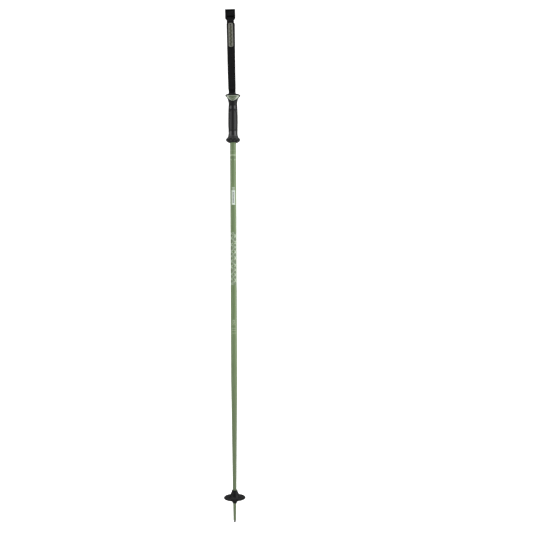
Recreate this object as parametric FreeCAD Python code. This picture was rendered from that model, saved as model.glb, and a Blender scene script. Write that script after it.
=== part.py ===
"""Alpine ski pole: tapered tube shaft, moulded grip, webbing wrist loop with a slide adjuster, and a basket.

Frame: origin at the centre of the tip's end face, +Z up the shaft to the strap, X across the strap's width,
Y fore and aft. The strap leaves the grip a little to the -X side and leans that way. Millimetres throughout.
"""

import FreeCAD, Part
import math
import os

os.makedirs("parts", exist_ok=True)

V = FreeCAD.Vector

# Heights along the pole
TUBE_END_Z = 7.0
BASKET_Z = 56.0
TAPER_TOP_Z = 410.0
GRIP_BOTTOM_Z = 1103.5
TUBE_TOP_Z = 1208.0
SLEEVE_TOP_Z = 1239.5
CAP_RIM_Z = 1242.0
CAP_TOP_Z = 1246.0
ROOT_TOP_Z = 1246.8
ADJUSTER_Z = 1461.0

# Shaft: outside radius at the heights above
TUBE_R = 9.0
TUBE_BASKET_R = 5.53
TUBE_BASKET_Z = 102.0
TUBE_LOWER_R = 4.8
TUBE_LOWER_Z = 55.0
TUBE_END_R = 3.9
TUBE_WALL = 1.2
SPIGOT_R = 8.7
GLUE_GAP = 0.03

# Tip
TIP_SHANK_R = 2.6
TIP_SHANK_TOP_Z = 44.0
TIP_COLLAR_R = 3.5
TIP_FACE_R = 2.2
TIP_CHAMFER = 0.6

# Basket
BASKET_R = 31.6
BASKET_CLEARANCE = 0.06
RIB_COUNT = 8
RIB_WIDTH = 1.4
RIB_START_R = 9.0
RIB_END_R = 30.4

# Grip: half-widths are across X, and every section is deeper fore and aft by this ratio
GRIP_DEPTH_RATIO = 1.10
FLARE_Z = 1217.0
FLARE_FOOT_R = 12.6
FLARE_BEND_R = 37.0
CAP_R = 22.05
CORE_R = 10.9
CORE_NECK_Z = 1222.0
CORE_CHAMBER_R = 14.2
CORE_HEAD_R = 16.0
CORE_LIFT = 3.0
CHAMBER_BOTTOM_Z = 1232.0
CHAMBER_WIDTH = 22.0
CHAMBER_DEPTH = 7.4
PIN_R = 1.5
PIN_Z = 1235.6
PIN_LENGTH = 25.2
CAP_EDGE = 0.9
LEG_RUN = 1.0
LEG_BEND_R = 2.2
LEG_DEG = 30.0
MOUTH_WIDTH = 22.4
MOUTH_DEPTH = 5.2
SCREW_Y = 12.0
SCREW_R = 1.6
SCREW_HEAD_R = 3.0
SCREW_HEAD = 2.0
SCREW_SUNK = 0.3
SCREW_LENGTH = 9.0
SCREW_SLOT = (3.4, 0.7, 0.9)

# Cap inserts: shield-shaped plates let into the front and back of the grip's flare
INSERT_PROUD = 0.3
INSERT_DEPTH = 1.5
INSERT_GAP = 0.08

# Strap
STRAP_SHIFT_X = -2.1
STRAP_LEAN_DEG = 1.15
WEB_WIDTH = 20.6
WEB_HALF = 0.75
PLY_Y = 1.05
PLY_START_Z = 1249.4
PLY_END_Z = 1457.0
PAD_START = 8.0
PAD_BACK = 0.8
PAD_THICKNESS = 1.2
PAD_RIGHT_LOW = 10.7
PAD_RIGHT_HIGH = 12.9
PAD_LEFT = 10.7
PAD_TOP_Z = 1451.0
PAD_CHAMFER = 2.4
LABEL_Z = (1380.3, 1450.6)
LABEL_WIDTH = 13.8
LABEL_CORNER = 4.2
LABEL_BACK = 2.3
LABEL_THICKNESS = 1.0
LABEL_X = 0.5
LAYER_GAP = 0.3
RIVET_Z = 1444.6
RIVET_R = 1.2
RIVET_HEAD_R = 2.3
RIVET_HEAD = 0.9
RIVET_ROLL = 0.4

# Shape of one ply of the loop: entry bend, long bow and exit bend, then straight under the adjuster
PLY_RUN_LOW = 6.0
PLY_BEND_R = 90.0
PLY_BOW_R = 488.0
PLY_OUT_DEG = 9.0
PLY_IN_DEG = 6.5

# Adjuster: a three-bar slide frame, set forward so that the two plies stay symmetric about Y = 0
FRAME_WIDTH = 29.4
FRAME_HEIGHT = 31.0
FRAME_THICKNESS = 4.4
FRAME_Y = -1.8
FRAME_SHOULDER = 4.6
FRAME_FOOT = 11.7
FRAME_CORNER = 1.0
WINDOW_WIDTH = 21.6
BAR_R = 1.8
LOW_BAR_Z = 1464.2
MID_BAR_Z = 1477.5
SLOT_TOP_Z = 1487.0
BAR_GAP = 0.1
TAIL_BEND_R = 1.6
TAIL_END_Z = 1428.0
HEM_BEND_R = 4.0
HEM_DEG = 35.0
HEM_RUN = 3.0

# Thread blocks
TACK_THICKNESS = 0.4
TACK_HEIGHT = 2.2
TACK_WIDTH = 15.0
ROOT_TACKS_Z = (1261.0, 1264.4)
NECK_TACK_Z = 1458.2


def turned(points):
    """A solid of revolution about Z from (radius, height) points."""
    wire = Part.makePolygon([V(r, 0, z) for r, z in points + points[:1]])
    return Part.Face(wire).revolve(V(0, 0, 0), V(0, 0, 1), 360)


def block(width, depth, height, centre_x, centre_y, bottom_z):
    """A box given by its sides, the middle of its base in plan and its lowest height."""
    corner = V(centre_x - width / 2, centre_y - depth / 2, bottom_z)
    return Part.makeBox(width, depth, height, corner)


def prism(outline, y_from, y_to):
    """An outline of (x, z) points, pushed along Y."""
    wire = Part.makePolygon([V(x, y_from, z) for x, z in outline + outline[:1]])
    return Part.Face(wire).extrude(V(0, y_to - y_from, 0))


def spline(points):
    """A smooth edge through (radius, height) points."""
    curve = Part.BSplineCurve()
    curve.interpolate([V(r, 0, z) for r, z in points])
    return curve.toShape()


def line(start, end):
    return Part.LineSegment(V(start[0], 0, start[1]), V(end[0], 0, end[1])).toShape()


def arc(start, middle, end):
    points = [V(r, 0, z) for r, z in (start, middle, end)]
    return Part.Arc(*points).toShape()


# --- Shaft and tip -------------------------------------------------------------------------------------


def make_shaft():
    """One drawn tube: tapered below, parallel above, with a slightly reduced spigot for the grip's glue."""
    outside = [
        (TUBE_END_R, TUBE_END_Z),
        (TUBE_LOWER_R, TUBE_LOWER_Z),
        (TUBE_BASKET_R, TUBE_BASKET_Z),
        (TUBE_R, TAPER_TOP_Z),
        (TUBE_R, GRIP_BOTTOM_Z),
        (SPIGOT_R, GRIP_BOTTOM_Z),
        (SPIGOT_R, TUBE_TOP_Z),
    ]
    inside = [
        (TUBE_R - TUBE_WALL, TUBE_TOP_Z),
        (TUBE_R - TUBE_WALL, TAPER_TOP_Z),
        (TUBE_BASKET_R - TUBE_WALL, TUBE_BASKET_Z),
        (TIP_SHANK_R + GLUE_GAP, TUBE_LOWER_Z),
        (TIP_SHANK_R + GLUE_GAP, TUBE_END_Z),
    ]
    return turned(outside + inside)


def make_tip():
    """Hardened pin with a collar under the tube's end and a flat, chamfered striking face."""
    return turned([
        (0, 0),
        (TIP_FACE_R, 0),
        (TIP_FACE_R + TIP_CHAMFER, TIP_CHAMFER),
        (TIP_COLLAR_R, TUBE_END_Z - GLUE_GAP),
        (TIP_SHANK_R, TUBE_END_Z - GLUE_GAP),
        (TIP_SHANK_R, TIP_SHANK_TOP_Z),
        (0, TIP_SHANK_TOP_Z),
    ])


# --- Basket --------------------------------------------------------------------------------------------


def tube_radius(z):
    """The shaft's outside radius below its parallel length."""
    low = (TUBE_LOWER_Z, TUBE_LOWER_R)
    mid = (TUBE_BASKET_Z, TUBE_BASKET_R)
    high = (TAPER_TOP_Z, TUBE_R)
    start, end = (low, mid) if z < TUBE_BASKET_Z else (mid, high)
    share = (z - start[0]) / (end[0] - start[0])
    return start[1] + share * (end[1] - start[1])


def make_basket():
    """Snow basket: a hub bored to the shaft's taper, a shallow dish with a beaded rim, and radial ribs."""
    hub_top = BASKET_Z + 37.7
    bore_low = tube_radius(BASKET_Z) + BASKET_CLEARANCE
    bore_high = tube_radius(hub_top) + BASKET_CLEARANCE
    outline = [
        (bore_low, BASKET_Z),
        (6.2, BASKET_Z),
        (8.0, BASKET_Z + 5.2),
        (9.2, BASKET_Z + 11.0),
        (18.0, BASKET_Z + 14.0),
        (30.6, BASKET_Z + 14.4),
        (BASKET_R, BASKET_Z + 15.2),
        (BASKET_R, BASKET_Z + 16.4),
        (30.8, BASKET_Z + 17.0),
        (29.6, BASKET_Z + 16.4),
        (18.0, BASKET_Z + 17.2),
        (13.0, BASKET_Z + 20.6),
        (11.0, BASKET_Z + 27.0),
        (9.1, BASKET_Z + 32.0),
        (8.6, BASKET_Z + 34.8),
        (7.5, hub_top),
        (bore_high, hub_top),
    ]
    rib_outline = [
        (RIB_START_R, BASKET_Z + 30.5),
        (RIB_START_R, BASKET_Z + 18.0),
        (RIB_END_R, BASKET_Z + 15.6),
        (RIB_END_R, BASKET_Z + 17.0),
        (16.0, BASKET_Z + 20.4),
    ]
    basket = turned(outline)
    for i in range(RIB_COUNT):
        rib = prism(rib_outline, -RIB_WIDTH / 2, RIB_WIDTH / 2)
        rib.rotate(V(0, 0, 0), V(0, 0, 1), (i + 0.5) * 360 / RIB_COUNT)
        basket = basket.fuse(rib)
    return basket.removeSplitter()


# --- Grip ----------------------------------------------------------------------------------------------


def grip_form():
    """The grip's whole outer form as one solid: hand stop, waisted body and flared top."""
    stop = [(10.5, GRIP_BOTTOM_Z), (17.6, 1107.2), (21.25, 1112.4)]
    body = [
        (21.25, 1112.4),
        (19.1, 1116.1),
        (16.3, 1119.1),
        (14.2, 1124.0),
        (13.3, 1134.0),
        (14.0, 1152.0),
        (13.9, 1180.0),
        (13.2, 1206.0),
        (FLARE_FOOT_R, FLARE_Z),
    ]
    flare = flare_arc(0.0)
    bottom = (0, GRIP_BOTTOM_Z)
    top = (0, SLEEVE_TOP_Z)
    edges = [line(bottom, stop[0]), arc(*stop), spline(body), arc(*flare)]
    edges += [line(flare[-1], top), line(top, bottom)]
    return deepened(Part.Face(Part.Wire(edges)).revolve(V(0, 0, 0), V(0, 0, 1), 360))


def flare_arc(grow):
    """Start, middle and end of the flare's arc, moved out by grow; it leaves its foot straight up."""
    rise = SLEEVE_TOP_Z - FLARE_Z
    sweep = math.asin(rise / FLARE_BEND_R)
    points = []
    for turn in (0, sweep / 2, sweep):
        radius = FLARE_FOOT_R + FLARE_BEND_R * (1 - math.cos(turn))
        points.append((radius + grow, FLARE_Z + FLARE_BEND_R * math.sin(turn)))
    return points


def flare_form(grow):
    """The flare alone, as a solid reaching the grip's axis."""
    points = flare_arc(grow)
    foot = (0, FLARE_Z)
    top = (0, SLEEVE_TOP_Z)
    edges = [line(foot, points[0]), arc(*points), line(points[-1], top), line(top, foot)]
    return deepened(Part.Face(Part.Wire(edges)).revolve(V(0, 0, 0), V(0, 0, 1), 360))


def deepened(shape):
    """The same shape, stretched fore and aft by the grip's depth ratio."""
    stretch = FreeCAD.Matrix()
    stretch.scale(1, GRIP_DEPTH_RATIO, 1)
    return shape.transformGeometry(stretch)


def core_form(grow=0.0):
    """The core's outside with nothing taken out of it."""
    return turned([
        (0, GRIP_BOTTOM_Z + CORE_LIFT - grow),
        (CORE_R + grow, GRIP_BOTTOM_Z + CORE_LIFT - grow),
        (CORE_R + grow, CORE_NECK_Z),
        (CORE_CHAMBER_R + grow, CHAMBER_BOTTOM_Z),
        (CORE_HEAD_R + grow, SLEEVE_TOP_Z),
        (0, SLEEVE_TOP_Z),
    ])


def make_core():
    """Rigid core: blind socket for the tube, pin and screw holes, and the chamber for the webbing's bend."""
    depth = TUBE_TOP_Z - GRIP_BOTTOM_Z
    socket = Part.makeCylinder(SPIGOT_R + GLUE_GAP, depth + GLUE_GAP, V(0, 0, GRIP_BOTTOM_Z))
    height = SLEEVE_TOP_Z - CHAMBER_BOTTOM_Z
    chamber = block(CHAMBER_WIDTH, CHAMBER_DEPTH, height, STRAP_SHIFT_X, 0, CHAMBER_BOTTOM_Z)
    return core_form().cut([socket, chamber, pin(GLUE_GAP), screw(GLUE_GAP)])


def pin(grow=0.0):
    """Cross dowel that the webbing loops around."""
    length = PIN_LENGTH + 2 * grow
    return Part.makeCylinder(PIN_R + grow, length, V(STRAP_SHIFT_X - length / 2, 0, PIN_Z), V(1, 0, 0))


def cap_height(y):
    """Height of the cap's crown along the fore-and-aft line."""
    share = y / (CAP_R * GRIP_DEPTH_RATIO)
    return CAP_TOP_Z - (CAP_TOP_Z - CAP_RIM_Z) * share * share


def screw_top():
    return cap_height(SCREW_Y + SCREW_HEAD_R) - SCREW_SUNK


def screw(grow=0.0):
    """Countersunk screw that holds the cap to the core, behind the strap."""
    head_at = V(0, SCREW_Y, screw_top() - SCREW_HEAD)
    head = Part.makeCone(SCREW_R + grow, SCREW_HEAD_R + grow, SCREW_HEAD, head_at)
    length = SCREW_LENGTH + grow
    shank = Part.makeCylinder(SCREW_R + grow, length, V(0, SCREW_Y, screw_top() - length))
    return shank.fuse(head).removeSplitter()


def make_screw():
    length, width, depth = SCREW_SLOT
    solid = screw()
    for angle in (0, 90):
        slot = block(length, width, depth, 0, SCREW_Y, screw_top() - depth)
        slot.rotate(V(0, SCREW_Y, 0), V(0, 0, 1), angle)
        solid = solid.cut(slot)
    return solid


def shield(grow=0.0):
    """Outline of an insert in (x, z): wide and nearly straight above, narrowing to a rounded foot."""
    half = [(4.2, 1224.8), (8.2, 1227.0), (12.4, 1230.4), (16.2, 1234.6), (18.5, 1238.3)]
    corner = (18.9 + grow, 1239.0 + grow)
    right = [(x + grow, z - grow / 2) for x, z in half] + [corner]
    left = [(-x, z) for x, z in reversed(right)]
    return [(0, 1224.0 - grow)] + right + [(0, 1237.2 + grow)] + left


def insert_pocket(side, grow=0.0):
    """What lies outside the insert's back, under one shield outline; side is -1 in front and +1 behind."""
    return prism(shield(grow), 0, side * 2 * CAP_R).cut(flare_form(-INSERT_DEPTH - grow))


def make_insert(side):
    return insert_pocket(side).common(flare_form(INSERT_PROUD))


def make_sleeve():
    """Soft overmoulded sleeve, open for the tube and the core, with pockets for the two inserts."""
    opening = Part.makeCylinder(TUBE_R + GLUE_GAP, 2 * CORE_LIFT, V(0, 0, GRIP_BOTTOM_Z - CORE_LIFT))
    sleeve = grip_form().cut([core_form(GLUE_GAP), opening])
    for side in (-1, 1):
        sleeve = sleeve.cut(insert_pocket(side, INSERT_GAP))
    return sleeve


def make_cap():
    """Top plate with a rounded rim, a low crown and the mouth that the strap comes out of."""
    bottom = SLEEVE_TOP_Z + GLUE_GAP
    rim_in = CAP_R - CAP_EDGE
    mid_z = CAP_RIM_Z + (CAP_TOP_Z - CAP_RIM_Z) * 0.75
    edges = [
        line((0, bottom), (rim_in, bottom)),
        arc((rim_in, bottom), (CAP_R, (bottom + CAP_RIM_Z) / 2), (rim_in, CAP_RIM_Z)),
        arc((rim_in, CAP_RIM_Z), (rim_in / 2, mid_z), (0, CAP_TOP_Z)),
        line((0, CAP_TOP_Z), (0, bottom)),
    ]
    plate = deepened(Part.Face(Part.Wire(edges)).revolve(V(0, 0, 0), V(0, 0, 1), 360))
    mouth = block(MOUTH_WIDTH, MOUTH_DEPTH, 2 * CAP_EDGE + 10, STRAP_SHIFT_X, 0, SLEEVE_TOP_Z)
    driver_well = Part.makeCylinder(SCREW_HEAD_R + GLUE_GAP, 10, V(0, SCREW_Y, screw_top()))
    return plate.cut([mouth, screw(GLUE_GAP), driver_well])


# --- Webbing -------------------------------------------------------------------------------------------


def walk(start, moves, offset):
    """Edges of a path's parallel at an offset, with its first and last point.

    start is (y, z) and the path sets out upwards. A move is ("run", length) or ("turn", radius, degrees),
    where positive degrees turn a rising path towards +Y. An offset is a distance to the path's left, which is
    -Y at the start.
    """
    y, z = start
    heading = 0.0
    edges = []

    def beside(at_y, at_z, way):
        return V(0, at_y - offset * math.cos(way), at_z + offset * math.sin(way))

    first = beside(y, z, heading)
    last = first
    for move in moves:
        begin = last
        if move[0] == "run":
            y += move[1] * math.sin(heading)
            z += move[1] * math.cos(heading)
            last = beside(y, z, heading)
            edges.append(Part.LineSegment(begin, last).toShape())
            continue
        radius, turn = move[1], math.radians(move[2])
        reach = math.copysign(radius, turn)
        centre_y = y + reach * math.cos(heading)
        centre_z = z - reach * math.sin(heading)
        half_way = heading + turn / 2
        middle_y = centre_y - reach * math.cos(half_way)
        middle_z = centre_z + reach * math.sin(half_way)
        middle = beside(middle_y, middle_z, half_way)
        heading += turn
        y = centre_y - reach * math.cos(heading)
        z = centre_z + reach * math.sin(heading)
        last = beside(y, z, heading)
        edges.append(Part.Arc(begin, middle, last).toShape())
    return edges, first, last


def ribbon(start, moves, offsets, width, centre_x=0.0):
    """A strip of webbing: a path in the Y-Z plane, thickened between two offsets and pushed along X."""
    left, left_first, left_last = walk(start, moves, offsets[1])
    right, right_first, right_last = walk(start, moves, offsets[0])
    near_end = Part.LineSegment(right_first, left_first).toShape()
    far_end = Part.LineSegment(left_last, right_last).toShape()
    wire = Part.Wire(Part.__sortEdges__(left + [far_end] + right + [near_end]))
    strip = Part.Face(wire).extrude(V(width, 0, 0))
    strip.translate(V(centre_x - width / 2, 0, 0))
    return strip


def rise_of(moves):
    """How far up a path of moves goes."""
    _, first, last = walk((0, 0), moves, 0)
    return last.z - first.z


def mirrored(shape):
    """The same piece on the other side of the loop."""
    return shape.mirror(V(0, 0, 0), V(0, 1, 0))


def leaned(shape):
    """A strap piece moved from its own upright line to where the strap leaves the grip, leaning to -X."""
    shape.translate(V(STRAP_SHIFT_X, 0, 0))
    shape.rotate(V(STRAP_SHIFT_X, 0, CAP_TOP_Z), V(0, 1, 0), -STRAP_LEAN_DEG)
    return shape


def ply_moves():
    """One ply of the loop from the mouth to the adjuster, bowing towards -Y."""
    bends = [
        ("run", PLY_RUN_LOW),
        ("turn", PLY_BEND_R, -PLY_OUT_DEG),
        ("turn", PLY_BOW_R, PLY_OUT_DEG + PLY_IN_DEG),
        ("turn", PLY_BEND_R, -PLY_IN_DEG),
    ]
    return bends + [("run", PLY_END_Z - PLY_START_Z - rise_of(bends))]


def ply_layer(offsets, width, centre_x=0.0):
    """A layer that follows the front ply at a distance in front of its middle."""
    return ribbon((-PLY_Y, PLY_START_Z), ply_moves(), offsets, width, centre_x)


def neck_y():
    """Where the middle of the front ply runs once it is straight under the adjuster."""
    _, _, last = walk((-PLY_Y, PLY_START_Z), ply_moves(), 0)
    return last.y


def through_label(radius):
    """A drill through the front of the loop at the label's rivet."""
    return Part.makeCylinder(radius, 16, V(LABEL_X, -18, RIVET_Z), V(0, 1, 0))


def make_front_webbing():
    return ply_layer((-WEB_HALF, WEB_HALF), WEB_WIDTH).cut(through_label(RIVET_R + LAYER_GAP))


def make_rear_webbing():
    return mirrored(ply_layer((-WEB_HALF, WEB_HALF), WEB_WIDTH))


def make_pad():
    """Comfort layer sewn to the front ply; it widens upwards and its upper corners are cut off."""
    layer = ply_layer((PAD_BACK, PAD_BACK + PAD_THICKNESS), 2 * PAD_RIGHT_HIGH)
    bottom = PLY_START_Z + PAD_START
    outline = [
        (-PAD_LEFT, bottom),
        (PAD_RIGHT_LOW, bottom),
        (PAD_RIGHT_HIGH, PAD_TOP_Z - PAD_CHAMFER),
        (PAD_RIGHT_HIGH - PAD_CHAMFER, PAD_TOP_Z),
        (-PAD_LEFT + PAD_CHAMFER, PAD_TOP_Z),
        (-PAD_LEFT, PAD_TOP_Z - PAD_CHAMFER),
    ]
    return layer.common(prism(outline, -20, 0)).cut(through_label(RIVET_R + LAYER_GAP))


def make_label():
    """Moulded rubber patch with rounded corners."""
    layer = ply_layer((LABEL_BACK, LABEL_BACK + LABEL_THICKNESS), LABEL_WIDTH, LABEL_X)
    low, high = LABEL_Z
    outline = block(LABEL_WIDTH, 20, high - low, LABEL_X, -10, low)
    corners = [edge for edge in outline.Edges if edge.BoundBox.YLength > 1]
    outline = outline.makeFillet(LABEL_CORNER, corners)
    return layer.common(outline).cut(through_label(RIVET_R + GLUE_GAP))


def make_rivet():
    """Rivet through the label, the pad and the front ply, with a head in front and a roll behind."""
    front = neck_y() - LABEL_BACK - LABEL_THICKNESS - GLUE_GAP
    back = neck_y() + WEB_HALF + LAYER_GAP
    shank = Part.makeCylinder(RIVET_R, back - front, V(LABEL_X, front, RIVET_Z), V(0, 1, 0))
    head = Part.makeCone(RIVET_HEAD_R, RIVET_R, RIVET_HEAD, V(LABEL_X, front, RIVET_Z), V(0, -1, 0))
    roll = Part.makeCylinder(RIVET_HEAD_R, RIVET_ROLL, V(LABEL_X, back, RIVET_Z), V(0, 1, 0))
    return shank.fuse([head, roll]).removeSplitter()


def make_root():
    """The webbing's bend around the cross dowel, with both legs brought together at the mouth."""
    bend = PIN_R + BAR_GAP + WEB_HALF
    swing = 2 * LEG_BEND_R * (1 - math.cos(math.radians(LEG_DEG)))
    slant = (bend - PLY_Y - swing) / math.sin(math.radians(LEG_DEG))
    leg = [
        ("run", LEG_RUN),
        ("turn", LEG_BEND_R, LEG_DEG),
        ("run", slant),
        ("turn", LEG_BEND_R, -LEG_DEG),
    ]
    leg.append(("run", ROOT_TOP_Z - PIN_Z - rise_of(leg)))
    front = ribbon((-bend, PIN_Z), leg, (-WEB_HALF, WEB_HALF), WEB_WIDTH)
    start = V(-WEB_WIDTH / 2, 0, PIN_Z)
    ring = Part.makeCylinder(bend + WEB_HALF, WEB_WIDTH, start, V(1, 0, 0))
    ring = ring.cut(Part.makeCylinder(bend - WEB_HALF, WEB_WIDTH, start, V(1, 0, 0)))
    lower = ring.common(block(2 * WEB_WIDTH, 4 * bend, 2 * bend, 0, 0, PIN_Z - 2 * bend))
    root = lower.fuse([front, mirrored(front)]).removeSplitter()
    root.translate(V(STRAP_SHIFT_X, 0, 0))
    return root


def front_tack(bottom_z):
    """One block of bar-tack thread on the face of the pad."""
    back = PAD_BACK + PAD_THICKNESS + GLUE_GAP
    layer = ply_layer((back, back + TACK_THICKNESS), TACK_WIDTH)
    return layer.common(block(TACK_WIDTH, 40, TACK_HEIGHT, 0, 0, bottom_z))


def make_root_tacks():
    return Part.makeCompound([front_tack(z) for z in ROOT_TACKS_Z])


# --- Adjuster ------------------------------------------------------------------------------------------


def make_frame():
    """Slide frame: a U of two side rails and a top rail, with two round bars across its window."""
    top = ADJUSTER_Z + FRAME_HEIGHT
    half = FRAME_WIDTH / 2
    outline = [
        (-FRAME_FOOT, ADJUSTER_Z),
        (FRAME_FOOT, ADJUSTER_Z),
        (half, ADJUSTER_Z + FRAME_SHOULDER),
        (half, top - FRAME_CORNER),
        (half - FRAME_CORNER, top),
        (-half + FRAME_CORNER, top),
        (-half, top - FRAME_CORNER),
        (-half, ADJUSTER_Z + FRAME_SHOULDER),
    ]
    front = FRAME_Y - FRAME_THICKNESS / 2
    frame = prism(outline, front, front + FRAME_THICKNESS)
    frame = frame.cut(block(WINDOW_WIDTH, 20, SLOT_TOP_Z - ADJUSTER_Z + 1, 0, FRAME_Y, ADJUSTER_Z - 1))
    bars = []
    for z in (LOW_BAR_Z, MID_BAR_Z):
        start = V(-WINDOW_WIDTH / 2 - 1, FRAME_Y, z)
        bars.append(Part.makeCylinder(BAR_R, WINDOW_WIDTH + 2, start, V(1, 0, 0)))
    return frame.fuse(bars).removeSplitter()


def make_fold():
    """Sewn end of the front ply, turned over the lower bar and brought back against the ply."""
    start_z = PLY_END_Z + LAYER_GAP
    bend = FRAME_Y - neck_y()
    across = 2 * bend - 2 * WEB_HALF - LAYER_GAP
    swing = 2 * HEM_BEND_R * (1 - math.cos(math.radians(HEM_DEG)))
    slant = (across - swing) / math.sin(math.radians(HEM_DEG))
    moves = [
        ("run", LOW_BAR_Z - start_z),
        ("turn", bend, 180),
        ("turn", HEM_BEND_R, HEM_DEG),
        ("run", slant),
        ("turn", HEM_BEND_R, -HEM_DEG),
        ("run", HEM_RUN),
    ]
    return ribbon((neck_y(), start_z), moves, (-WEB_HALF, WEB_HALF), WEB_WIDTH)


def make_tail():
    """The adjustable ply: up behind the frame, forward over the middle bar, and down behind as the tail."""
    start_z = PLY_END_Z + LAYER_GAP
    rear_y = -neck_y()
    crown = (rear_y - neck_y()) / 2
    crown_z = SLOT_TOP_Z - crown - WEB_HALF - LAYER_GAP
    bend = FRAME_Y - neck_y()
    tail_y = rear_y - 2 * WEB_HALF - LAYER_GAP
    moves = [
        ("run", crown_z - start_z),
        ("turn", crown, -180),
        ("run", crown_z - MID_BAR_Z),
        ("turn", bend, -90),
        ("run", tail_y - FRAME_Y - TAIL_BEND_R),
        ("turn", TAIL_BEND_R, 90),
        ("run", MID_BAR_Z - bend - TAIL_BEND_R - TAIL_END_Z),
    ]
    return ribbon((rear_y, start_z), moves, (-WEB_HALF, WEB_HALF), WEB_WIDTH)


def make_neck_tack():
    """Bar-tack block on the fold, just under the frame."""
    front = neck_y() - WEB_HALF - GLUE_GAP - TACK_THICKNESS
    return block(TACK_WIDTH, TACK_THICKNESS, TACK_HEIGHT, 0, front + TACK_THICKNESS / 2, NECK_TACK_Z)


# --- Pieces --------------------------------------------------------------------------------------------


def save(node, shape):
    assert shape.isValid() and shape.Volume > 0, node
    shape.exportStep(f"parts/{node}.step")
    print(f"{node:18s} {len(shape.Solids)} solid(s) {shape.Volume:10.1f} mm3")


save("shaft", make_shaft())
save("tip_point", make_tip())
save("basket", make_basket())
save("grip_core", make_core())
save("grip_sleeve", make_sleeve())
save("grip_cap", make_cap())
save("cap_insert_front", make_insert(-1))
save("cap_insert_rear", make_insert(1))
save("cap_screw", make_screw())
save("strap_pin", pin())
save("strap_root", make_root())
save("webbing_front", leaned(make_front_webbing()))
save("webbing_rear", leaned(make_rear_webbing()))
save("wrist_pad", leaned(make_pad()))
save("root_bartack", leaned(make_root_tacks()))
save("adjuster_frame", leaned(make_frame()))
save("adjuster_fold", leaned(make_fold()))
save("strap_tail", leaned(make_tail()))
save("label_patch", leaned(make_label()))
save("label_rivet", leaned(make_rivet()))
save("neck_bartack", leaned(make_neck_tack()))
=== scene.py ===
"""Looks for the ski pole: a sculpted grip, woven strap, moulded buckle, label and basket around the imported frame.

Lengths are in millimetres inside the builders and become metres in make_object(). The pole stands along Z, the label
faces -Y, and the strap leans a little towards -X.
"""

import math

import bpy
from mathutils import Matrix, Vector


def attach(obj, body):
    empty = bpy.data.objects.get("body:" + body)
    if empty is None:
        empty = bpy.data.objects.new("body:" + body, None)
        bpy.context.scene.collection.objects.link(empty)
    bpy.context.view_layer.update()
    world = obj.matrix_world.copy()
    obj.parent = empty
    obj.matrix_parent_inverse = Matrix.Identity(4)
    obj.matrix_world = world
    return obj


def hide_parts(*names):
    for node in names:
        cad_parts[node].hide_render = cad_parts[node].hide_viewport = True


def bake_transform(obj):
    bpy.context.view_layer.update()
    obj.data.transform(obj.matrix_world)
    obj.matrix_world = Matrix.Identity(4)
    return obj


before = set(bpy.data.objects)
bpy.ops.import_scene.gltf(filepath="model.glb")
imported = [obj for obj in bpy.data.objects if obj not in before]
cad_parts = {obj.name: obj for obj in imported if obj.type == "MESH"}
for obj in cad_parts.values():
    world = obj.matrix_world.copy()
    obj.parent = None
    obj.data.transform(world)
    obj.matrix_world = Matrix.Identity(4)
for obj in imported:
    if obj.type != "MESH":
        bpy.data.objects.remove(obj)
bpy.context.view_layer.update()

MM = 0.001

# Grip, as in the CAD model: half-widths across X by height
GRIP_DEPTH = 1.10
GRIP_FOOT_Z = 1103.5
GRIP_PROFILE = (
    (10.4, 1103.5), (12.4, 1104.3), (15.4, 1105.6), (18.0, 1107.5), (20.2, 1109.9), (21.2, 1112.2),
    (20.6, 1114.1), (19.0, 1116.2), (17.5, 1117.8), (16.0, 1119.6), (14.8, 1122.0), (13.9, 1125.0),
    (13.35, 1129.5), (13.3, 1134.0), (13.6, 1142.0), (13.95, 1152.0), (14.05, 1164.0), (13.9, 1180.0),
    (13.6, 1194.0), (13.2, 1206.0), (12.75, 1213.0), (12.6, 1217.0),
)
FLARE_Z = 1217.0
FLARE_FOOT_R = 12.6
FLARE_BEND_R = 37.0
SLEEVE_TOP_Z = 1239.5
TUBE_R = 9.0

# Strap, as in the CAD model
STRAP_X = -2.1
CAP_TOP_Z = 1246.0
STRAP_LEAN = math.radians(-1.15)
PLY_Y = 1.05
PLY_START_Z = 1249.4
WEB_WIDTH = 20.6
WEB_HALF = 0.75
PLY_MOVES = (("run", 6.0), ("turn", 90.0, -9.0), ("turn", 488.0, 15.5), ("turn", 90.0, -6.5))
PLY_END_Z = 1457.0
ADJUSTER_Z = 1461.0
PAD_TOP_Z = 1451.0
PAD_START_Z = 1257.4
PIN_R = 1.5
PIN_Z = 1235.6
BAR_GAP = 0.1
LEG_RUN = 1.0
LEG_BEND_R = 2.2
LEG_DEG = 30.0

# Adjuster, as in the CAD model
FRAME_Y = -1.8
BAR_R = 1.8
LOW_BAR_Z = 1464.2
MID_BAR_Z = 1477.5
SLOT_TOP_Z = 1487.0
LAYER_GAP = 0.3
TAIL_END_Z = 1428.0
TAIL_BEND_R = 1.6
HEM_BEND_R = 4.0
HEM_DEG = 35.0
HEM_RUN = 3.0


# --- Materials ------------------------------------------------------------------------------------------------


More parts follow.
